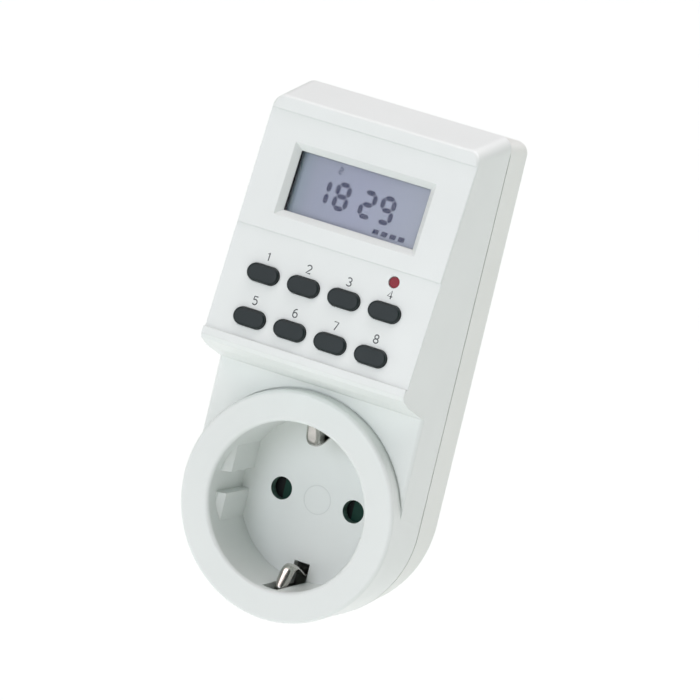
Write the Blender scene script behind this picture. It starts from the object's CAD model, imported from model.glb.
"""Plug-in timer switch: finishes, printed numbers, display digits, small details and the studio.

Everything is in metres in the object's own frame: the front faces -Y, the plug points along +Y,
+Z is up, and the origin is the centre of the plug's end face.
"""

import logging
import math
from dataclasses import dataclass
from enum import Enum
from typing import Callable, Protocol, Sequence

import bmesh
import bpy
import numpy as np
from mathutils import Matrix, Vector


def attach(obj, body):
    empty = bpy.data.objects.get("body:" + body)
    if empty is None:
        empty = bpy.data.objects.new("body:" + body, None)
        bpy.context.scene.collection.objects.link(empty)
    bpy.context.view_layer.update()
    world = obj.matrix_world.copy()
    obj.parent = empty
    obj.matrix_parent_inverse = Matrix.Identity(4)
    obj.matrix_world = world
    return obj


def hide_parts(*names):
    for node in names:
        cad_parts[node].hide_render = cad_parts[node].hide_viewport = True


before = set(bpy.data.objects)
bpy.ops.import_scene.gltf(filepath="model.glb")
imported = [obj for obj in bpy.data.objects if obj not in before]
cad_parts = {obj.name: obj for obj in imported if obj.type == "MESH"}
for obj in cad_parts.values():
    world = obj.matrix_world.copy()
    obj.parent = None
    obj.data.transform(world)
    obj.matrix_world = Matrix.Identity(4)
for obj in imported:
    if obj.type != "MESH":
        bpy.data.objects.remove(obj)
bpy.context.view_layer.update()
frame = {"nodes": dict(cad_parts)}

LOG = logging.getLogger("timer")
MM = 0.001
ACROSS = np.array([1.0, 0.0, 0.0])

# Short names for the kinds of value that the functions take and give
Colour = tuple[float, float, float]
Triple = tuple[float, float, float]
Pair = tuple[float, float]
Points = np.ndarray
Form = tuple[np.ndarray, list]
Item = bpy.types.Object
Material = bpy.types.Material
Node = bpy.types.Node
Socket = bpy.types.NodeSocket


def linear(red: float, green: float, blue: float) -> Colour:
    """Turn a colour of 0 to 255 as the eye sees it into the linear light that shaders use.

    This is the usual curve of a screen: seen / 12.92 up to 0.04045 and ((seen + 0.055) /
    1.055)^2.4 above it.
    """
    seen = np.array([red, green, blue]) / 255.0
    light = np.where(seen <= 0.04045, seen / 12.92, ((seen + 0.055) / 1.055) ** 2.4)
    return tuple(float(part) for part in light)


# Meshes from arrays


class Surface:
    """Surfaces worked out as whole arrays and put into meshes."""

    @staticmethod
    def mesh(name: str, points: Points, faces: Sequence[Sequence[int]],
             smooth: bool = True) -> Item:
        """Make an object of points and faces, with its normals turned outwards.

        Args:
            name: name of the object.
            points: rows of x, y, z in metres.
            faces: tuples of point numbers.
            smooth: whether the faces shade smoothly.

        Returns:
            The new object, linked to the scene.
        """
        data = bpy.data.meshes.new(name)
        corners = np.asarray(points, dtype=float).tolist()
        data.from_pydata(corners, [], [list(face) for face in faces])
        form = bmesh.new()
        form.from_mesh(data)
        bmesh.ops.recalc_face_normals(form, faces=form.faces)
        form.to_mesh(data)
        form.free()
        data.polygons.foreach_set("use_smooth", np.full(len(data.polygons), smooth))
        data.update()
        item = bpy.data.objects.new(name, data)
        bpy.context.scene.collection.objects.link(item)
        return item

    @staticmethod
    def grid_faces(rows: int, columns: int, wrap_rows: bool = False) -> np.ndarray:
        """Return the four-sided faces of a grid whose rows are closed rings.

        Face (i, j) joins the points (i, j), (i, j+1), (i+1, j+1) and (i+1, j), counted round
        along a row, and from the last row to the first if asked.

        Args:
            rows: number of rows.
            columns: points in each row.
            wrap_rows: whether the last row joins the first.

        Returns:
            One row of four point numbers per face.
        """
        i = np.arange(rows if wrap_rows else rows - 1)
        i, j = (part.ravel() for part in np.meshgrid(i, np.arange(columns), indexing="ij"))
        after_i, after_j = (i + 1) % rows, (j + 1) % columns
        return np.stack([i * columns + j, i * columns + after_j, after_i * columns + after_j,
                         after_i * columns + j], axis=1)

    @classmethod
    def capped_faces(cls, rows: int, columns: int) -> list:
        """Return the faces of rings of points joined one to the next, with both ends closed."""
        faces = cls.grid_faces(rows, columns).tolist()
        faces.append(list(range(columns))[::-1])
        faces.append(list(range((rows - 1) * columns, rows * columns)))
        return faces

    @classmethod
    def along(cls, path: Points, profile: Points, side: Points, up: Points) -> Form:
        """Carry a closed profile along an open path and close both ends.

        Point (i, j) is path i plus profile j's first number along side i plus its second
        number along up.

        Args:
            path: rows of x, y, z.
            profile: rows of (across, above).
            side: unit vectors across the path, one per path point.
            up: the unit vector that every section stands on.

        Returns:
            The points and the faces.
        """
        across = profile[None, :, 0, None] * side[:, None, :]
        above = profile[None, :, 1, None] * up[None, None, :]
        points = (path[:, None, :] + across + above).reshape(-1, 3)
        return points, cls.capped_faces(len(path), len(profile))

    @classmethod
    def turned(cls, outline: Points, sections: int) -> Form:
        """Turn an outline of (radius, height) about the height axis.

        Point (i, j) is at angle 2 pi i / sections, radius j from the axis and height j up.
        The outline is closed on itself, so it gives a ring.

        Args:
            outline: rows of (radius, height).
            sections: steps round the axis.

        Returns:
            The points, with the axis along the third number, and the faces.
        """
        angle = np.linspace(0, 2 * math.pi, sections, endpoint=False)[:, None]
        radius, height = outline[None, :, 0], outline[None, :, 1]
        points = np.stack([radius * np.cos(angle), radius * np.sin(angle),
                           np.broadcast_to(height, (sections, len(outline)))], axis=2)
        faces = cls.grid_faces(sections, len(outline), wrap_rows=True)
        return points.reshape(-1, 3), faces.tolist()

    @staticmethod
    def joined(parts: Sequence[Form]) -> Form:
        """Put several sets of points and faces into one."""
        points, faces, start = [], [], 0
        for some_points, some_faces in parts:
            points.append(some_points)
            faces.extend([number + start for number in face] for face in some_faces)
            start += len(some_points)
        return np.concatenate(points), faces


@dataclass(frozen=True)
class Panel:
    """The sloping control panel, which carries its own two directions.

    A point that is x across, up the panel and out of it lies at the panel's foot plus up along
    the slope plus out along the slope's normal.
    """

    foot_y: float = -55.05 * MM
    foot_z: float = 38.0 * MM
    tilt: float = math.radians(10.2)
    key_floor: float = -0.3 * MM

    @property
    def upward(self) -> np.ndarray:
        """Unit vector up the panel."""
        return np.array([0.0, math.sin(self.tilt), math.cos(self.tilt)])

    @property
    def outward(self) -> np.ndarray:
        """Unit vector out of the panel."""
        return np.array([0.0, -math.cos(self.tilt), math.sin(self.tilt)])

    def place(self, flat: Points, out: float = 0.0) -> np.ndarray:
        """Return where points of (across, up) lie in space, at one height above the panel.

        Args:
            flat: rows of (across, up) in metres.
            out: height above the display zone, in metres.

        Returns:
            Rows of x, y, z.
        """
        flat = np.asarray(flat, dtype=float)
        foot = np.array([0.0, self.foot_y, self.foot_z])
        return foot + flat[..., :1] * ACROSS + flat[..., 1:2] * self.upward + out * self.outward


PANEL = Panel()


# Finishes


class Recipe:
    """Builds one material's nodes round its main shader."""

    EDGE_SAMPLES = 4
    MIX_SHARE, MIX_FIRST, MIX_SECOND, MIX_RESULT = 0, 6, 7, 2

    def __init__(self, name: str, colour: Colour, roughness: float) -> None:
        """Start a material with a plain colour and roughness."""
        self.material = bpy.data.materials.new(name)
        self.material.use_nodes = True
        self.material.diffuse_color = (*colour, 1.0)
        self.tree = self.material.node_tree
        self.shader = next(node for node in self.tree.nodes if node.type == "BSDF_PRINCIPLED")
        self.fix("Base Color", (*colour, 1.0))
        self.fix("Roughness", roughness)
        self.place = self.node("ShaderNodeTexCoord").outputs["Object"]

    def fix(self, socket: str, value: float | tuple) -> "Recipe":
        """Set one of the main shader's own sockets."""
        self.shader.inputs[socket].default_value = value
        return self

    def node(self, kind: str, **settings: object) -> Node:
        """Add a node and set its properties."""
        made = self.tree.nodes.new(kind)
        for key, value in settings.items():
            setattr(made, key, value)
        return made

    def join(self, source: Socket, node: Node, socket: str | int) -> None:
        """Connect an output to an input of a node."""
        self.tree.links.new(source, node.inputs[socket])

    def noise(self, scale: float, detail: float = 4.0, roughness: float = 0.5,
              stretch: Triple | None = None) -> Socket:
        """Return a noise pattern.

        Args:
            scale: features a metre.
            detail: octaves of finer noise on top.
            roughness: strength of each octave against the one before.
            stretch: factors on x, y and z, below 1 to draw the pattern out along an axis.

        Returns:
            The pattern, from 0 to 1.
        """
        source = self.place
        if stretch is not None:
            mapping = self.node("ShaderNodeMapping")
            mapping.inputs["Scale"].default_value = stretch
            self.join(source, mapping, "Vector")
            source = mapping.outputs["Vector"]
        made = self.node("ShaderNodeTexNoise")
        made.inputs["Scale"].default_value = scale
        made.inputs["Detail"].default_value = detail
        made.inputs["Roughness"].default_value = roughness
        self.join(source, made, "Vector")
        return made.outputs["Fac"]

    def coordinate(self, axis: str) -> Socket:
        """Return each point's place along one axis, in metres."""
        parts = self.node("ShaderNodeSeparateXYZ")
        self.join(self.place, parts, "Vector")
        return parts.outputs[axis]

    def spread(self, source: Socket, low: float, high: float,
               start: float = 0.3, end: float = 0.7) -> Socket:
        """Return a pattern carried onto another range.

        Args:
            source: the pattern.
            low: result at the start.
            high: result at the end.
            start: the pattern's value that gives low.
            end: the pattern's value that gives high.

        Returns:
            The new pattern.
        """
        made = self.node("ShaderNodeMapRange")
        ends = {"From Min": start, "From Max": end, "To Min": low, "To Max": high}
        for socket, value in ends.items():
            made.inputs[socket].default_value = value
        self.join(source, made, "Value")
        return made.outputs["Result"]

    def tones(self, source: Socket, stops: Sequence[tuple[float, Colour]]) -> Socket:
        """Return a pattern as colours, from (position, colour) stops."""
        made = self.node("ShaderNodeValToRGB")
        ramp = made.color_ramp
        for number, (position, colour) in enumerate(stops):
            stop = ramp.elements[number] if number < 2 else ramp.elements.new(position)
            stop.position = position
            stop.color = (*colour, 1.0)
        self.join(source, made, "Fac")
        return made.outputs["Color"]

    def colour(self, source: Socket) -> "Recipe":
        """Give the main shader a colour pattern."""
        self.join(source, self.shader, "Base Color")
        return self

    def roughness(self, source: Socket) -> "Recipe":
        """Give the main shader a roughness pattern."""
        self.join(source, self.shader, "Roughness")
        return self

    def soft_edges(self, radius: float) -> "Recipe":
        """Shade the edges as if they were rounded to a radius in metres."""
        made = self.node("ShaderNodeBevel", samples=self.EDGE_SAMPLES)
        made.inputs["Radius"].default_value = radius
        self.join(made.outputs["Normal"], self.shader, "Normal")
        return self

    def math(self, operation: str, source: Socket, other: float | Socket) -> Socket:
        """Return a number worked out from a pattern and a number or a second pattern."""
        made = self.node("ShaderNodeMath", operation=operation)
        self.join(source, made, 0)
        if isinstance(other, (int, float)):
            made.inputs[1].default_value = other
        else:
            self.join(other, made, 1)
        return made.outputs["Value"]

    def vector(self, operation: str, source: Socket,
               other: Triple = (0.0, 0.0, 0.0)) -> Node:
        """Return a node that works on a vector pattern and, if it takes one, a fixed vector."""
        made = self.node("ShaderNodeVectorMath", operation=operation)
        made.inputs[1].default_value = other
        self.join(source, made, 0)
        return made

    def from_axis(self, across: float, lengthwise: float) -> tuple[Socket, Socket]:
        """Return how far each point is from two axes along Y and how far it is behind a plane.

        The axes lie at plus and minus across; the distance is the length of (|x| - across, z).

        Args:
            across: distance of either axis from the middle, in metres.
            lengthwise: y of the plane, in metres.

        Returns:
            The distance from the nearer axis, and the distance behind the plane.
        """
        fold = self.vector("ABSOLUTE", self.place).outputs["Vector"]
        shift = self.vector("SUBTRACT", fold, (across, 0.0, 0.0)).outputs["Vector"]
        flat = self.vector("MULTIPLY", shift, (1.0, 0.0, 1.0)).outputs["Vector"]
        away = self.vector("LENGTH", flat).outputs["Value"]
        return away, self.math("SUBTRACT", self.coordinate("Y"), lengthwise)

    def blend(self, share: Socket, first: Socket, second: Colour) -> Socket:
        """Return the first colour pattern where the share is 0, the second colour where it is 1."""
        made = self.node("ShaderNodeMix", data_type="RGBA")
        self.join(share, made, self.MIX_SHARE)
        self.join(first, made, self.MIX_FIRST)
        made.inputs[self.MIX_SECOND].default_value = (*second, 1.0)
        return made.outputs[self.MIX_RESULT]

    def bump(self, source: Socket, height: float, strength: float = 1.0) -> "Recipe":
        """Raise the surface by a pattern, on top of the soft edges if there are any.

        Args:
            source: the pattern.
            height: how high its value 1 stands, in metres.
            strength: share of the slope that is shaded.

        Returns:
            This recipe.
        """
        made = self.node("ShaderNodeBump")
        made.inputs["Strength"].default_value = strength
        made.inputs["Distance"].default_value = height
        self.join(source, made, "Height")
        if self.shader.inputs["Normal"].is_linked:
            self.join(self.shader.inputs["Normal"].links[0].from_socket, made, "Normal")
        self.join(made.outputs["Normal"], self.shader, "Normal")
        return self


def shade(colour: Colour, factor: float) -> Colour:
    """Return a colour made lighter or darker."""
    return tuple(min(1.0, part * factor) for part in colour)


@dataclass(frozen=True)
class Moulded:
    """Injection-moulded plastic: spark-eroded grain, faint flow clouds and uneven gloss."""

    CLOUD_SCALE = 45.0
    GLOSS_SCALE = 160.0
    GLOSS_SPREAD = (-0.02, 0.03)
    GRAIN_STRENGTH = 0.6

    name: str
    colour: Colour
    gloss: float = 0.42
    grain: float = 9000.0
    grain_height: float = 0.006 * MM
    clouds: float = 0.02
    edge: float = 0.2 * MM
    shine: float = 0.5

    def make(self) -> Material:
        """Return the material."""
        return self.mixed().material

    def mixed(self) -> Recipe:
        """Return the finished recipe."""
        recipe = Recipe(self.name, self.colour, self.gloss).fix("Specular IOR Level", self.shine)
        recipe.soft_edges(self.edge)
        stops = [(0.25, shade(self.colour, 1.0 - self.clouds)),
                 (0.75, shade(self.colour, 1.0 + self.clouds))]
        flow = recipe.tones(recipe.noise(self.CLOUD_SCALE, 3.0), stops)
        recipe.colour(self.marked(recipe, flow))
        low, high = (self.gloss + change for change in self.GLOSS_SPREAD)
        recipe.roughness(recipe.spread(recipe.noise(self.GLOSS_SCALE), low, high))
        return recipe.bump(recipe.noise(self.grain, 2.0), self.grain_height, self.GRAIN_STRENGTH)

    def marked(self, recipe: Recipe, colour: Socket) -> Socket:
        """Return the colour pattern with this piece's own marks on it."""
        return colour


@dataclass(frozen=True)
class SocketShell(Moulded):
    """The front shell's plastic, with the dark lining of the two pin holes."""

    lining: Colour = linear(92, 122, 112)
    pin_offset: float = 9.5 * MM
    hole_radius: float = 2.8 * MM
    lining_start: float = -28.88 * MM

    def marked(self, recipe: Recipe, colour: Socket) -> Socket:
        """Return the colour pattern with the lining inside each pin hole."""
        away, behind = recipe.from_axis(self.pin_offset, self.lining_start)
        near = recipe.math("LESS_THAN", away, self.hole_radius)
        inside = recipe.math("MULTIPLY", near, recipe.math("GREATER_THAN", behind, 0.0))
        return recipe.blend(inside, colour, self.lining)


@dataclass(frozen=True)
class ShutterPlastic(Moulded):
    """Dark green plastic whose blades are dull black on the side where a pin first lands."""

    ramp: Colour = (0.002, 0.004, 0.004)
    left_end: float = -9.9 * MM
    right_middle: float = 7.4 * MM
    right_reach: float = 0.9 * MM

    def marked(self, recipe: Recipe, colour: Socket) -> Socket:
        """Return the colour pattern with the black side of each blade, towards -X of its hole."""
        place = recipe.coordinate("X")
        left = recipe.math("LESS_THAN", place, self.left_end)
        away = recipe.math("ABSOLUTE", recipe.math("SUBTRACT", place, self.right_middle), 0.0)
        right = recipe.math("LESS_THAN", away, self.right_reach)
        return recipe.blend(recipe.math("MAXIMUM", left, right), colour, self.ramp)


@dataclass(frozen=True)
class Metal:
    """Plated or drawn metal with fine lines along one axis and dull patches."""

    LINE_SCALE = 6000.0
    LINE_STRETCH = 0.05
    LINE_HEIGHT = 0.004 * MM
    LINE_STRENGTH = 0.4
    PATCH_SCALE = 420.0
    PATCH_SHADE = 0.8

    name: str
    colour: Colour
    gloss: float = 0.2
    line_axis: int = 2
    patches: float = 0.08

    def make(self) -> Material:
        """Return the material."""
        recipe = Recipe(self.name, self.colour, self.gloss).fix("Metallic", 1.0)
        stretch = [1.0, 1.0, 1.0]
        stretch[self.line_axis] = self.LINE_STRETCH
        lines = recipe.noise(self.LINE_SCALE, 2.0, 0.6, tuple(stretch))
        dull = recipe.noise(self.PATCH_SCALE, 4.0, 0.6)
        dulled = shade(self.colour, self.PATCH_SHADE)
        recipe.colour(recipe.tones(dull, [(0.3, dulled), (0.7, self.colour)]))
        low, high = self.gloss + self.patches, self.gloss - self.patches / 2
        recipe.roughness(recipe.spread(dull, low, high))
        return recipe.bump(lines, self.LINE_HEIGHT, self.LINE_STRENGTH).material


@dataclass(frozen=True)
class Window:
    """Clear acrylic with faint wipe marks.

    Its refraction is set lower than acrylic's, which keeps its reflections as faint as they
    look in the photograph.
    """

    WIPE_SCALE = 700.0
    WIPE_STRETCH = (1.0, 1.0, 0.1)

    name: str = "clear_acrylic"
    refraction: float = 1.2
    roughest: float = 0.035

    def make(self) -> Material:
        """Return the material."""
        recipe = Recipe(self.name, (1.0, 1.0, 1.0), 0.02)
        recipe.fix("Transmission Weight", 1.0).fix("IOR", self.refraction)
        wipes = recipe.noise(self.WIPE_SCALE, 3.0, 0.6, self.WIPE_STRETCH)
        return recipe.roughness(recipe.spread(wipes, 0.0, self.roughest)).material


@dataclass(frozen=True)
class DisplayCell:
    """Grey-blue reflective display with a soft dark shade along its left edge.

    The tones are stops of (share of the width from the left edge, colour).
    """

    TONES = (
        (0.0, linear(10, 26, 34)), (0.018, linear(60, 90, 100)), (0.05, linear(134, 150, 166)),
        (0.14, linear(152, 162, 182)), (0.5, linear(158, 166, 190)), (1.0, linear(166, 176, 192)))
    GRAIN_SCALE = 5200.0
    GRAIN_HEIGHT = 0.003 * MM

    name: str = "display_cell"
    left: float = -16.6 * MM
    width: float = 33.0 * MM

    def make(self) -> Material:
        """Return the material."""
        recipe = Recipe(self.name, linear(160, 168, 190), 0.35)
        share = recipe.spread(recipe.coordinate("X"), 0.0, 1.0, self.left, self.left + self.width)
        recipe.colour(recipe.tones(share, self.TONES))
        return recipe.bump(recipe.noise(self.GRAIN_SCALE, 2.0), self.GRAIN_HEIGHT, 0.3).material


@dataclass(frozen=True)
class Circuit:
    """Solder-masked board with tracks under the mask, drawn as the joints of a brick wall."""

    LAYOUT = {
        "Scale": 90.0, "Mortar Size": 0.03, "Brick Width": 0.62, "Row Height": 0.21}
    SHADES = {"Color1": 1.0, "Color2": 1.15, "Mortar": 2.1}
    TRACK_HEIGHT = 0.04 * MM
    GLOSS_SCALE, SMOOTH, DULL = 900.0, 0.25, 0.4

    name: str = "circuit_board"
    mask: Colour = (0.012, 0.115, 0.045)

    def make(self) -> Material:
        """Return the material."""
        recipe = Recipe(self.name, self.mask, 0.3)
        tracks = recipe.node("ShaderNodeTexBrick", offset=0.5, squash=1.0)
        for socket, value in self.LAYOUT.items():
            tracks.inputs[socket].default_value = value
        for socket, factor in self.SHADES.items():
            tracks.inputs[socket].default_value = (*shade(self.mask, factor), 1.0)
        turn = recipe.node("ShaderNodeMapping")
        turn.inputs["Rotation"].default_value = (math.pi / 2, 0.0, 0.0)
        recipe.join(recipe.place, turn, "Vector")
        recipe.join(turn.outputs["Vector"], tracks, "Vector")
        recipe.colour(tracks.outputs["Color"])
        recipe.bump(tracks.outputs["Fac"], self.TRACK_HEIGHT, 0.5)
        gloss = recipe.spread(recipe.noise(self.GLOSS_SCALE), self.SMOOTH, self.DULL)
        return recipe.roughness(gloss).material


@dataclass(frozen=True)
class Ink:
    """Printed ink, slightly uneven in depth."""

    DEPTH_SCALE = 2600.0
    THIN, THICK = 1.2, 0.85

    name: str
    colour: Colour
    gloss: float = 0.5

    def make(self) -> Material:
        """Return the material."""
        recipe = Recipe(self.name, self.colour, self.gloss)
        stops = [(0.3, shade(self.colour, self.THICK)), (0.7, shade(self.colour, self.THIN))]
        return recipe.colour(recipe.tones(recipe.noise(self.DEPTH_SCALE, 3.0), stops)).material


@dataclass(frozen=True)
class Banded:
    """A small component's body with coloured bands along one axis, one to every pitch."""

    BAND_END, BODY_START = 0.28, 0.34
    GRAIN_SCALE, GRAIN_HEIGHT = 3000.0, 0.01 * MM

    name: str
    colour: Colour
    band: Colour
    axis: str = "Z"
    pitch: float = 1.6 * MM
    gloss: float = 0.35

    def make(self) -> Material:
        """Return the material."""
        recipe = Recipe(self.name, self.colour, self.gloss)
        half = self.pitch / 2
        wave = recipe.math("PINGPONG", recipe.coordinate(self.axis), half)
        share = recipe.spread(wave, 0.0, 1.0, 0.0, half)
        stops = [(self.BAND_END, self.band), (self.BODY_START, self.colour)]
        recipe.colour(recipe.tones(share, stops))
        return recipe.bump(recipe.noise(self.GRAIN_SCALE, 2.0), self.GRAIN_HEIGHT, 0.3).material


class Finish(Protocol):
    """What every finish offers: its material's name and the material."""

    name: str

    def make(self) -> Material:
        """Return the material."""


class Dresser:
    """Gives finishes to the pieces, each finish made once."""

    def __init__(self) -> None:
        """Start with no finish made."""
        self.made: dict[str, Material] = {}

    def material(self, finish: Finish) -> Material:
        """Return a finish's material, made the first time it is asked for."""
        if finish.name not in self.made:
            self.made[finish.name] = finish.make()
        return self.made[finish.name]

    def dress(self, finish: Finish, *nodes: str) -> None:
        """Give a finish to pieces of the frame by name."""
        for node in nodes:
            item = frame["nodes"][node]
            for slot in item.material_slots:
                slot.material = self.material(finish)
            if not item.material_slots:
                item.data.materials.append(self.material(finish))
        LOG.info("%s: %s", finish.name, ", ".join(nodes))

    def finish(self, item: Item, finish: Finish, body: str, slot: str) -> Item:
        """Give a new piece its finish, its body and the record's slot.

        Args:
            item: the new piece.
            finish: its finish.
            body: the body that it moves with.
            slot: the material slot of the record.

        Returns:
            The same piece.
        """
        item.data.materials.append(self.material(finish))
        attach(item, body)
        LOG.info("%s rides on %s with %d faces", item.name, body, len(item.data.polygons))
        return item


# Strokes and segments


class Numerals:
    """Single-stroke numbers in a box one unit wide and 1.5 units high."""

    BOX = np.array([1.0, 1.5])
    SECTION_POINTS = 6

    @staticmethod
    def arc(centre: Pair, size: Pair, start: float, end: float) -> np.ndarray:
        """Return points on an ellipse: the centre plus (size[0] cos a, size[1] sin a).

        Args:
            centre: its centre.
            size: its two half lengths.
            start: first angle a, in degrees.
            end: last angle a, in degrees.

        Returns:
            Rows of (across, up), about one every 15 degrees.
        """
        steps = max(6, int(abs(end - start) / 15))
        angle = np.radians(np.linspace(start, end, steps))
        turn = np.stack([np.cos(angle), np.sin(angle)], axis=1)
        return np.array(centre) + np.array(size) * turn

    @classmethod
    def strokes(cls, digit: int) -> list[np.ndarray]:
        """Return a number's strokes as paths of (across, up)."""
        arc = cls.arc
        shapes = {
            1: [[(0.25, 1.2), (0.55, 1.5), (0.55, 0.0)]],
            2: [np.concatenate([arc((0.5, 1.08), (0.45, 0.42), 165, -35),
                                [(0.05, 0.0), (0.95, 0.0)]])],
            3: [arc((0.45, 1.13), (0.42, 0.37), 150, -90),
                arc((0.45, 0.38), (0.47, 0.38), 90, -150)],
            4: [[(0.72, 0.0), (0.72, 1.5), (0.05, 0.45), (1.0, 0.45)]],
            5: [np.concatenate([[(0.9, 1.5), (0.18, 1.5), (0.12, 0.85)],
                                arc((0.47, 0.48), (0.45, 0.48), 115, -145)])],
            6: [np.concatenate([arc((0.62, 0.62), (0.55, 0.88), 80, 170),
                                arc((0.5, 0.45), (0.43, 0.45), 170, 530)])],
            7: [[(0.05, 1.5), (0.95, 1.5), (0.4, 0.0)]],
            8: [arc((0.5, 1.13), (0.38, 0.37), -90, 270),
                arc((0.5, 0.38), (0.45, 0.38), 90, 450)],
        }
        return [np.asarray(path, dtype=float) for path in shapes[digit]]

    @staticmethod
    def ribbon(path: Points, width: float, height: float, out: float) -> Form:
        """Return a low rounded ribbon of ink that follows a path of (across, up) on the panel.

        The section is a flat base with a curved top: across is half the width times the cosine
        of an angle and above is the height times its sine, for angles from 0 to 180 degrees.

        Args:
            path: rows of (across, up) in metres.
            width: width of the ribbon.
            height: height of its middle above its base.
            out: height of its base above the display zone.

        Returns:
            The points and the faces.
        """
        step = np.gradient(path, axis=0)
        step /= np.linalg.norm(step, axis=1, keepdims=True)
        across = np.stack([-step[:, 1], step[:, 0]], axis=1)
        side = across[:, :1] * ACROSS + across[:, 1:] * PANEL.upward
        angle = np.linspace(0, math.pi, Numerals.SECTION_POINTS)
        profile = np.stack([width / 2 * np.cos(angle), height * np.sin(angle)], axis=1)
        return Surface.along(PANEL.place(path, out), profile, side, PANEL.outward)

    @classmethod
    def written(cls, digit: int, centre: Pair, size: float, *ribbon: float) -> Form:
        """Return one number on the panel.

        Args:
            digit: the number, 1 to 8.
            centre: its middle as (across, up) in metres.
            size: its height in metres.
            *ribbon: width, height and base height of its strokes.

        Returns:
            The points and the faces.
        """
        unit = size / cls.BOX[1]
        return Surface.joined([cls.ribbon((path - cls.BOX / 2) * unit + centre, *ribbon)
                               for path in cls.strokes(digit)])


@dataclass(frozen=True)
class SevenSegment:
    """A seven-segment digit with pointed bars: a on top, then clockwise to f, and g across."""

    LIT = {1: "bc", 2: "abged", 8: "abcdefg", 9: "abcdfg"}
    GAP_SHARE = 0.12

    width: float
    height: float
    bar: float
    lean: float

    def bars(self) -> dict[str, np.ndarray]:
        """Return each bar's outline as (across, up) points before the digit leans."""
        w, h, half, gap = self.width, self.height, self.bar / 2, self.bar * self.GAP_SHARE
        near, top = self.bar + gap, h / 2 - half - gap
        level = np.array([(half + gap, 0), (near, half), (w - near, half),
                          (w - half - gap, 0), (w - near, -half), (near, -half)])
        upright = np.array([(0, half + gap), (half, near), (half, top), (0, h / 2 - gap),
                            (-half, top), (-half, near)])
        return {"a": level + (0, h - half), "g": level + (0, h / 2), "d": level + (0, half),
                "e": upright + (half, 0), "c": upright + (w - half, 0),
                "f": upright + (half, h / 2 - half), "b": upright + (w - half, h / 2 - half)}

    def outlines(self, digit: int, corner: Pair) -> list[np.ndarray]:
        """Return the lit bars of a digit whose lower left corner is given, leaning to the right."""
        lean = np.array([[1.0, 0.0], [math.tan(self.lean), 1.0]])
        bars = self.bars()
        return [bars[name] @ lean + corner for name in self.LIT[digit]]


def plate(outline: Points, out: float, thickness: float) -> Form:
    """Return a thin plate on the panel.

    Args:
        outline: rows of (across, up) in metres.
        out: height of its back above the display zone.
        thickness: its thickness.

    Returns:
        The points and the faces.
    """
    points = np.concatenate([PANEL.place(outline, out), PANEL.place(outline, out + thickness)])
    return points, Surface.capped_faces(2, len(outline))


class PressedStrip:
    """Sheet metal bent along a path, with its edges pressed back on the springy part."""

    THICKNESS = 0.56 * MM
    CORNER_POINTS, PATH_POINTS, SECTION_POINTS = 15, 60, 40
    WIDTH_POWER, EDGE_POWER = 0.55, 0.4

    @staticmethod
    def rounded(route: Points, radii: Sequence[float]) -> np.ndarray:
        """Return a route's corners turned into curves, with points along the straight runs.

        A corner becomes a parabola from a point before it to a point after it: P(t) =
        (1 - t)^2 before + 2 t (1 - t) corner + t^2 after. Both points are twice the corner's
        radius away from it.
        """
        pieces = [route[:1]]
        share = np.linspace(0.0, 1.0, PressedStrip.CORNER_POINTS)[:, None]
        rest = 1 - share
        for before, corner, after, radius in zip(route[:-2], route[1:-1], route[2:], radii):
            back, ahead = before - corner, after - corner
            first = corner + back / np.linalg.norm(back) * 2 * radius
            last = corner + ahead / np.linalg.norm(ahead) * 2 * radius
            pieces.append(rest ** 2 * first + 2 * share * rest * corner + share ** 2 * last)
        pieces.append(route[-1:])
        corners = np.concatenate(pieces)
        steps = np.linalg.norm(np.diff(corners, axis=0), axis=1)
        along = np.concatenate([[0.0], np.cumsum(steps)])
        even = np.union1d(along, np.linspace(0.0, along[-1], PressedStrip.PATH_POINTS))
        return np.stack([np.interp(even, along, corners[:, axis]) for axis in range(3)], axis=1)

    @staticmethod
    def normals(path: Points) -> np.ndarray:
        """Return unit vectors square to a path that lies in the YZ plane."""
        step = np.gradient(path, axis=0)
        step /= np.linalg.norm(step, axis=1, keepdims=True)
        return np.stack([np.zeros(len(path)), -step[:, 2], step[:, 1]], axis=1)

    @classmethod
    def swept(cls, path: Points, face: Points, width: Points, droop: Points) -> Form:
        """Return a strip along a path in the YZ plane.

        Section point j lies u across and v out of the strip, both from -1 to 1 round a flat
        superellipse: u is |cos a|^0.55 with the sign of cos a, v is |sin a|^0.4 with the sign of
        sin a. It is moved by u times half the width along X and by v times half the thickness
        less |u|^3 times the droop along the facing direction.

        Args:
            path: rows of x, y, z.
            face: unit vectors out of the strip's good side, one per path point.
            width: the strip's width at each path point.
            droop: how far its edges are pressed back at each path point.

        Returns:
            The points and the faces, with both ends closed.
        """
        count = cls.SECTION_POINTS
        angle = np.linspace(0, 2 * math.pi, count, endpoint=False) + math.pi / count
        across = np.sign(np.cos(angle)) * np.abs(np.cos(angle)) ** cls.WIDTH_POWER
        out = np.sign(np.sin(angle)) * np.abs(np.sin(angle)) ** cls.EDGE_POWER
        level = cls.THICKNESS / 2 * out[None, :] - droop[:, None] * np.abs(across[None, :]) ** 3
        side = width[:, None] / 2 * across[None, :]
        points = path[:, None, :] + side[..., None] * ACROSS + level[..., None] * face[:, None, :]
        return points.reshape(-1, 3), Surface.capped_faces(len(path), count)


# The object's sub-assemblies


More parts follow.
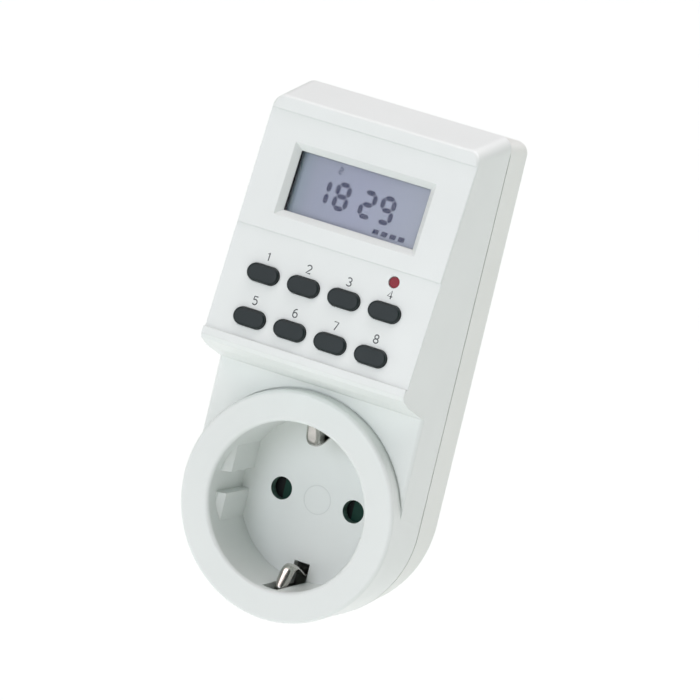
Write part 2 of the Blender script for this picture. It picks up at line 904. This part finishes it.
@dataclass
class Housing:
    """The two shells, their screws and the faint ring in the middle of the socket's plate."""

    plate_y: float = -29.0 * MM
    ring_radius: float = 3.4 * MM
    ring_line: float = 0.22 * MM
    ring_height: float = 0.05 * MM
    ring_steps: int = 96
    line_points: int = 7
    front: SocketShell = SocketShell("front_shell", (0.785, 0.825, 0.80), 0.32)
    rear: Moulded = Moulded("rear_shell", (0.80, 0.83, 0.79), 0.36)
    mark: Moulded = Moulded("plate_mark", (0.70, 0.74, 0.72), 0.4, edge=0.005 * MM)
    screw: Metal = Metal("screw_steel", (0.62, 0.62, 0.62), 0.28)

    def build(self, dresser: Dresser) -> None:
        """Dress the shells and the screws and add the ring."""
        dresser.dress(self.front, "front_housing")
        dresser.dress(self.rear, "rear_housing")
        dresser.dress(self.screw, "housing_screws")
        dresser.finish(self.plate_ring(), self.mark, "housing", "front_plastic")

    def plate_ring(self) -> Item:
        """Return the low ring on the plate.

        Its section is a half ellipse: the radius is the ring's plus half the line times the
        cosine of an angle, and the height is the ring's times its sine.
        """
        angle = np.linspace(0, math.pi, self.line_points)
        outline = np.stack([self.ring_radius + self.ring_line / 2 * np.cos(angle),
                            self.ring_height * np.sin(angle)], axis=1)
        points, faces = Surface.turned(outline, self.ring_steps)
        points = np.stack([points[:, 0], self.plate_y - points[:, 2], points[:, 1]], axis=1)
        return Surface.mesh("socket_plate_ring", points, faces)


@dataclass
class Display:
    """The display cell, its clear window and its digits.

    The time is rows of (digit, left edge) and the small marks are a day number and four dashes,
    with every place in millimetres across and up the panel.
    """

    TIME = ((1, -11.35), (8, -6.25), (2, 0.4), (9, 5.3))
    TIME_FOOT = 32.45
    DAY = 2
    DAY_CORNER = (-6.9, 40.6)
    DAY_SIZE = (1.1, 1.7, 0.28)
    DASH = ((0, 0), (1.5, 0), (1.7, 1.1), (0.2, 1.1))
    DASH_CORNERS = ((5.4, 29.9), (7.6, 29.9), (9.8, 29.9), (12.0, 29.9))

    cell_out: float = -2.8 * MM
    thickness: float = 0.03 * MM
    digit_width: float = 3.9 * MM
    digit_height: float = 6.7 * MM
    bar: float = 1.12 * MM
    lean: float = math.radians(0.8)
    glass: Window = Window()
    cell: DisplayCell = DisplayCell()
    ink: Ink = Ink("display_digit", linear(56, 64, 98), 0.6)
    frame: Moulded = Moulded("display_holder", (0.7, 0.7, 0.68), 0.5)
    rubber: Banded = Banded("contact_rubber", (0.16, 0.16, 0.17), (0.02, 0.02, 0.02),
                            "X", 0.5 * MM, 0.6)

    def build(self, dresser: Dresser) -> None:
        """Dress the display's pieces and add the lit bars."""
        dresser.dress(self.glass, "display_window")
        dresser.dress(self.cell, "lcd_cell")
        dresser.dress(self.frame, "lcd_holder")
        dresser.dress(self.rubber, "contact_strips")
        dresser.finish(self.digits(), self.ink, "housing", "display_glass")
        dresser.finish(self.small_marks(), self.ink, "housing", "display_glass")

    def lit(self, name: str, outlines: Sequence[Points]) -> Item:
        """Return thin plates with these outlines on the cell, as one piece."""
        parts = [plate(outline, self.cell_out, self.thickness) for outline in outlines]
        return Surface.mesh(name, *Surface.joined(parts), smooth=False)

    def digits(self) -> Item:
        """Return the four digits of the time, which lean a little."""
        pattern = SevenSegment(self.digit_width, self.digit_height, self.bar, self.lean)
        return self.lit("display_digits", [
            outline for digit, left in self.TIME
            for outline in pattern.outlines(digit, (left * MM, self.TIME_FOOT * MM))])

    def small_marks(self) -> Item:
        """Return the day number and the row of dashes."""
        pattern = SevenSegment(*(size * MM for size in self.DAY_SIZE), self.lean)
        day = pattern.outlines(self.DAY, tuple(place * MM for place in self.DAY_CORNER))
        dashes = [(np.array(self.DASH) + corner) * MM for corner in self.DASH_CORNERS]
        return self.lit("display_small_marks", day + dashes)


@dataclass
class Keypad:
    """The eight keys, the reset pin, their switches and the printed numbers."""

    NUMBERS = range(1, 9)

    shift: float = -0.43 * MM
    pitch_x: float = 10.425 * MM
    pitch_up: float = 10.475 * MM
    low_row: float = 3.25 * MM
    number_above: float = 4.15 * MM
    number_size: float = 1.9 * MM
    line: float = 0.27 * MM
    line_height: float = 0.03 * MM
    columns: int = 4
    key: Moulded = Moulded("key_plastic", linear(20, 33, 33), 0.34, 7000.0, 0.008 * MM, 0.12,
                           0.1 * MM, 0.3)
    red: Moulded = Moulded("reset_plastic", linear(140, 26, 42), 0.35, 7000.0, 0.006 * MM, 0.1,
                           0.1 * MM, 0.3)
    ink: Ink = Ink("printed_ink", linear(70, 76, 78), 0.55)
    dark: Moulded = Moulded("switch_plastic", (0.02, 0.02, 0.022), 0.45)

    def build(self, dresser: Dresser) -> None:
        """Dress the keys and print a plain number above each."""
        dresser.dress(self.key, *[f"key_{number}" for number in self.NUMBERS])
        dresser.dress(self.red, "reset_button")
        dresser.dress(self.dark, "switch_bodies", "reset_plunger",
                      *[f"plunger_{number}" for number in self.NUMBERS])
        dresser.finish(self.numbers(), self.ink, "housing", "front_plastic")

    def numbers(self) -> Item:
        """Return the numbers 1 to 8, one above each key."""
        parts = []
        middle = (self.columns - 1) / 2
        for number in self.NUMBERS:
            row, column = divmod(number - 1, self.columns)
            centre = (self.shift + (column - middle) * self.pitch_x,
                      self.low_row + (1 - row) * self.pitch_up + self.number_above)
            parts.append(Numerals.written(number, centre, self.number_size, self.line,
                                          self.line_height, PANEL.key_floor))
        return Surface.mesh("key_numbers", *Surface.joined(parts))


@dataclass(frozen=True)
class EarthArm:
    """One arm of the earth strip, drawn by its points of (y, distance from the axis) in mm."""

    side: float
    tip: Pair
    crest: Pair
    rest: tuple[Pair, Pair] = ((-28.8, 18.3), (-1.2, 18.3))
    radii: Pair = (1.5 * MM, 0.9 * MM)
    width: float = 3.4 * MM
    nose_share: float = 0.72
    nose_length: float = 2.2 * MM
    droop: float = 0.95 * MM
    droop_length: float = 6.0 * MM

    def build(self) -> Form:
        """Return the arm's points and faces.

        The width grows from the nose's share to the whole width with the sine of a quarter
        turn. The edges droop in full up to the crest and less and less, squared, behind it.
        """
        route = np.array([(0, *place) for place in (self.tip, self.crest, *self.rest)]) * MM
        path = PressedStrip.rounded(route, self.radii)
        inward = -PressedStrip.normals(path)
        flip = np.array([1.0, 1.0, self.side])
        behind = np.clip((path[:, 1] - self.crest[0] * MM) / self.droop_length, 0.0, 1.0)
        nose = np.clip((path[:, 1] - self.tip[0] * MM) / self.nose_length, 0.0, 1.0)
        growth = np.sin(nose * math.pi / 2)
        width = self.width * (self.nose_share + (1 - self.nose_share) * growth)
        droop = self.droop * (1.0 - behind) ** 2
        return PressedStrip.swept(path * flip, inward * flip, width, droop)


@dataclass
class Contacts:
    """The metal and insulating pieces of the plug and the socket."""

    upper: EarthArm = EarthArm(1.0, (-43.0, 20.4), (-39.9, 13.5))
    lower: EarthArm = EarthArm(-1.0, (-39.55, 20.6), (-36.0, 14.3))
    bridge_y: float = -21.0 * MM
    bridge_reach: float = 18.0 * MM
    bridge_points: int = 9
    nickel: Metal = Metal("nickel_plate", (0.66, 0.65, 0.62), 0.16, 1)
    spring: Metal = Metal("nickel_spring", (0.60, 0.585, 0.55), 0.2, 0, 0.06)
    brass: Metal = Metal("sheet_brass", (0.72, 0.53, 0.25), 0.26, 2)
    steel: Metal = Metal("spring_steel", (0.5, 0.5, 0.5), 0.3, 0)
    insulator: Moulded = Moulded("contact_insulator", (0.62, 0.62, 0.58), 0.45)
    shutter: ShutterPlastic = ShutterPlastic("shutter_plastic", linear(10, 58, 46), 0.4,
                                             shine=0.15)

    def build(self, dresser: Dresser) -> None:
        """Dress the contacts."""
        dresser.dress(self.nickel, "line_pin", "neutral_pin")
        strip = self.earth_strip()
        dresser.finish(strip, self.spring, "housing", "nickel")
        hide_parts("earth_strip")
        dresser.dress(self.brass, "line_contact", "neutral_contact", "line_strip", "neutral_strip")
        dresser.dress(self.insulator, "contact_base")
        dresser.dress(self.shutter, "safety_shutter")
        dresser.dress(self.steel, "shutter_spring", "shutter_screw", "power_board_screws",
                      "control_board_screws", "battery_tabs")

    def earth_strip(self) -> Item:
        """Return the earth strip: two arms with sprung ends and the flat bridge between them."""
        span = np.linspace(-self.bridge_reach, self.bridge_reach, self.bridge_points)[:, None]
        path = np.array([(0.0, self.bridge_y, 0.0)]) + span * np.array([(0.0, 0.0, 1.0)])
        forward = np.broadcast_to([0.0, -1.0, 0.0], path.shape)
        level = np.zeros(len(path))
        bridge = PressedStrip.swept(path, forward, level + self.upper.width, level)
        parts = [self.upper.build(), self.lower.build(), bridge]
        return Surface.mesh("earth_springs", *Surface.joined(parts))


@dataclass
class Electronics:
    """The two boards and what is soldered to them."""

    board: Circuit = Circuit()
    epoxy: Moulded = Moulded("black_epoxy", (0.012, 0.012, 0.013), 0.5, 3000.0, 0.02 * MM)
    can: Metal = Metal("bright_can", (0.7, 0.7, 0.7), 0.18, 1)
    relay: Moulded = Moulded("relay_case", (0.02, 0.02, 0.022), 0.35)
    film: Moulded = Moulded("film_case", (0.55, 0.12, 0.03), 0.3)
    sleeve: Banded = Banded("can_sleeve", (0.02, 0.03, 0.09), (0.45, 0.46, 0.5),
                            "X", 31.0 * MM, 0.3)
    disc: Moulded = Moulded("disc_coat", (0.03, 0.1, 0.33), 0.35)
    tube: Banded = Banded("fuse_tube", (0.75, 0.74, 0.68), (0.5, 0.5, 0.5),
                          "X", 11.0 * MM, 0.25)
    diode: Banded = Banded("diode_body", (0.015, 0.015, 0.016), (0.6, 0.6, 0.6),
                           "X", 5.2 * MM, 0.4)
    resistor: Banded = Banded("resistor_body", (0.55, 0.4, 0.2), (0.3, 0.05, 0.02),
                              "Z", 1.6 * MM, 0.35)
    ribbon: Banded = Banded("ribbon_jacket", (0.55, 0.55, 0.53), (0.3, 0.3, 0.3),
                            "X", 1.27 * MM, 0.5)

    def build(self, dresser: Dresser) -> None:
        """Dress the electronics."""
        dresser.dress(self.board, "control_board", "power_board")
        dresser.dress(self.epoxy, "controller_chip")
        dresser.dress(self.can, "clock_crystal", "backup_battery")
        dresser.dress(self.relay, "relay")
        dresser.dress(self.film, "film_capacitor")
        dresser.dress(self.sleeve, "electrolytic_capacitor")
        dresser.dress(self.disc, "varistor")
        dresser.dress(self.tube, "fuse")
        dresser.dress(self.diode, "diodes")
        dresser.dress(self.resistor, "resistors")
        dresser.dress(self.ribbon, "ribbon_cable")


# The studio


class Softness(Enum):
    """Angles over which the lights are spread, in degrees."""

    KEY = 30.0
    TOP = 60.0


@dataclass(frozen=True)
class Lamp:
    """A light that falls evenly from one direction, spread over an angle."""

    name: str
    source: Triple
    softness: Softness
    power: float
    colour: Colour

    def build(self) -> None:
        """Hang the light."""
        data = bpy.data.lights.new(self.name, "SUN")
        data.angle = math.radians(self.softness.value)
        data.energy = self.power
        data.color = self.colour
        lamp = bpy.data.objects.new(self.name, data)
        lamp.matrix_world = Vector(self.source).to_track_quat("Z", "Y").to_matrix().to_4x4()
        bpy.context.scene.collection.objects.link(lamp)


@dataclass
class Studio:
    """The camera, the soft lights and the pale floor."""

    LAMPS = (
        Lamp("key_light", (-0.40, -0.52, 0.755), Softness.KEY, 0.6, (1.0, 0.88, 0.88)),
        Lamp("front_light", (-0.2, -0.95, 0.25), Softness.KEY, 0.80, (0.9, 0.9, 1.0)),
        Lamp("top_light", (0.15, 0.2, 0.965), Softness.TOP, 2.75, (1.0, 0.95, 0.99)))
    SKY = (0.93, 1.0, 0.94)
    SKY_FADE = {
        "From Min": 0.05, "From Max": 0.14, "To Min": 0.85, "To Max": 0.1}
    PAPER = ((0.9, 0.95, 0.92), (0.91, 0.96, 0.93))

    eye: Triple = (442.9 * MM, -1079.2 * MM, 240.5 * MM)
    azimuth: float = math.radians(22.9017)
    elevation: float = math.radians(10.1577)
    roll: float = math.radians(-13.4474)
    sensor: float = 36.0
    focal_pixels: float = 5000.0
    picture_pixels: float = 700.0
    nearest: float = 0.05
    floor_height: float = -0.32
    floor_reach: float = 9.0

    def build(self) -> None:
        """Set up the camera, the floor, the sky and the lights."""
        self.camera()
        self.floor()
        self.sky()
        for lamp in self.LAMPS:
            lamp.build()
        bpy.context.scene.view_settings.view_transform = "Standard"

    def camera(self) -> None:
        """Place the camera where the photograph was taken from, rolled as it was."""
        a, e, r = self.azimuth, self.elevation, self.roll
        back = Vector((math.sin(a) * math.cos(e), -math.cos(a) * math.cos(e), math.sin(e)))
        level = Vector((math.cos(a), math.sin(a), 0.0))
        above = back.cross(level)
        right = math.cos(r) * level - math.sin(r) * above
        up = math.sin(r) * level + math.cos(r) * above
        data = bpy.data.cameras.new("main_camera")
        data.sensor_width = self.sensor
        data.lens = self.sensor * self.focal_pixels / self.picture_pixels
        data.clip_start = self.nearest
        camera = bpy.data.objects.new("main_camera", data)
        turn = Matrix((right, up, back)).transposed().to_4x4()
        camera.matrix_world = Matrix.Translation(self.eye) @ turn
        bpy.context.scene.collection.objects.link(camera)
        bpy.context.scene.camera = camera

    def floor(self) -> None:
        """Lay a wide pale floor."""
        side = self.floor_reach
        corners = np.array([(-side, -side, 0), (side, -side, 0), (side, side, 0), (-side, side, 0)])
        floor = Surface.mesh("floor", corners + (0, 0, self.floor_height), [(0, 1, 2, 3)])
        recipe = Recipe("floor_paper", self.PAPER[0], 0.9)
        recipe.colour(recipe.tones(recipe.noise(3.0), list(zip((0.2, 0.8), self.PAPER))))
        floor.data.materials.append(recipe.material)

    def sky(self) -> None:
        """Surround the floor with light that fades above a white horizon."""
        world = bpy.data.worlds.new("studio")
        world.use_nodes = True
        tree = world.node_tree
        surround = tree.nodes["Background"]
        surround.inputs["Color"].default_value = (*self.SKY, 1.0)
        height = tree.nodes.new("ShaderNodeSeparateXYZ")
        place = tree.nodes.new("ShaderNodeTexCoord").outputs["Object"]
        tree.links.new(place, height.inputs["Vector"])
        fade = tree.nodes.new("ShaderNodeMapRange")
        for socket, value in self.SKY_FADE.items():
            fade.inputs[socket].default_value = value
        tree.links.new(height.outputs["Z"], fade.inputs["Value"])
        tree.links.new(fade.outputs["Result"], surround.inputs["Strength"])
        bpy.context.scene.world = world


def main() -> None:
    """Build the studio and dress the object, one sub-assembly after another."""
    logging.basicConfig(level=logging.INFO, format="%(name)s: %(message)s")
    Studio().build()
    dresser = Dresser()
    builders: list[Callable[[Dresser], None]] = [
        Housing().build, Display().build, Keypad().build, Contacts().build,
        Electronics().build]
    for build in builders:
        build(dresser)


if __name__ == "__main__":
    main()
